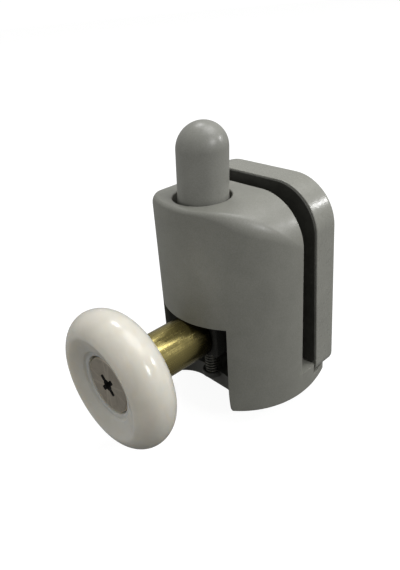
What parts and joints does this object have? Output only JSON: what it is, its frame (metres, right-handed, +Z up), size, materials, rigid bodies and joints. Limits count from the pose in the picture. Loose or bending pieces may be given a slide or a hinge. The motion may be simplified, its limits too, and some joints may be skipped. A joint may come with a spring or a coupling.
{
  "type": "sliding door roller",
  "caption": "Push-button glass door roller: moulded clamp housing with a sprung plunger carrying a ball-bearing wheel on a brass-spaced axle.",
  "frame": {"origin": "on the flat underside of the housing, 21 mm behind the wheel's front, which is the middle of the bounding box's bottom face to within 0.5 mm", "axes": "+Z up along the push button, +Y from the wheel towards the clamp plate, X across the roller"},
  "size_m": [0.0298, 0.0429, 0.051],
  "materials": {
    "housing_plastic": "satin moulded grey",
    "plate_plastic": "satin moulded grey, a shade lighter",
    "pad_rubber": "matt black",
    "screw_steel": "turned, zinc plated",
    "insert_brass": "turned",
    "spring_steel": "drawn wire",
    "button_plastic": "satin moulded grey",
    "carrier_plastic": "matt moulded dark grey",
    "axle_steel": "satin, nickel plated",
    "spacer_brass": "turned, lightly aged",
    "bearing_steel": "ground",
    "shield_steel": "pressed",
    "cage_plastic": "moulded black",
    "ball_steel": "polished",
    "tyre_nylon": "glossy off-white"
  },
  "bodies": {
    "housing": {"housing": "housing_plastic", "clamp_plate": "plate_plastic", "glass_pad": "pad_rubber", "clamp_screw_left": "screw_steel", "clamp_screw_right": "screw_steel", "clamp_insert_left": "insert_brass", "clamp_insert_right": "insert_brass", "return_spring": "spring_steel"},
    "plunger": {"push_button": "button_plastic", "axle_carrier": "carrier_plastic", "cross_pin": "screw_steel", "axle_insert": "insert_brass", "axle_screw": "axle_steel", "brass_spacer": "spacer_brass", "bearing_inner_race": "bearing_steel"},
    "wheel": {"wheel_tyre": "tyre_nylon", "bearing_outer_race": "bearing_steel", "bearing_shield_front": "shield_steel", "bearing_shield_rear": "shield_steel"},
    "ball_cage": {"ball_cage": "cage_plastic", "bearing_ball_1": "ball_steel", "bearing_ball_2": "ball_steel", "bearing_ball_3": "ball_steel", "bearing_ball_4": "ball_steel", "bearing_ball_5": "ball_steel", "bearing_ball_6": "ball_steel", "bearing_ball_7": "ball_steel"}
  },
  "joints": [
    {"name": "plunger_slide", "type": "slide", "parent": "housing", "child": "plunger", "axis": [0, 0, -1], "range_m": [0, 0.0038], "stiffness_N_per_m": 1500, "springref_m": -0.002, "deforming": ["return_spring"]},
    {"name": "wheel_spin", "type": "hinge", "parent": "plunger", "child": "wheel", "pos_m": [0, -0.01702, 0.01328], "axis": [0, 1, 0], "continuous": true},
    {"name": "cage_spin", "type": "hinge", "parent": "plunger", "child": "ball_cage", "pos_m": [0, -0.01525, 0.01328], "axis": [0, 1, 0], "continuous": true}
  ],
  "couplings": [
    {"joint": "cage_spin", "follows": "wheel_spin", "ratio": 0.61}
  ]
}
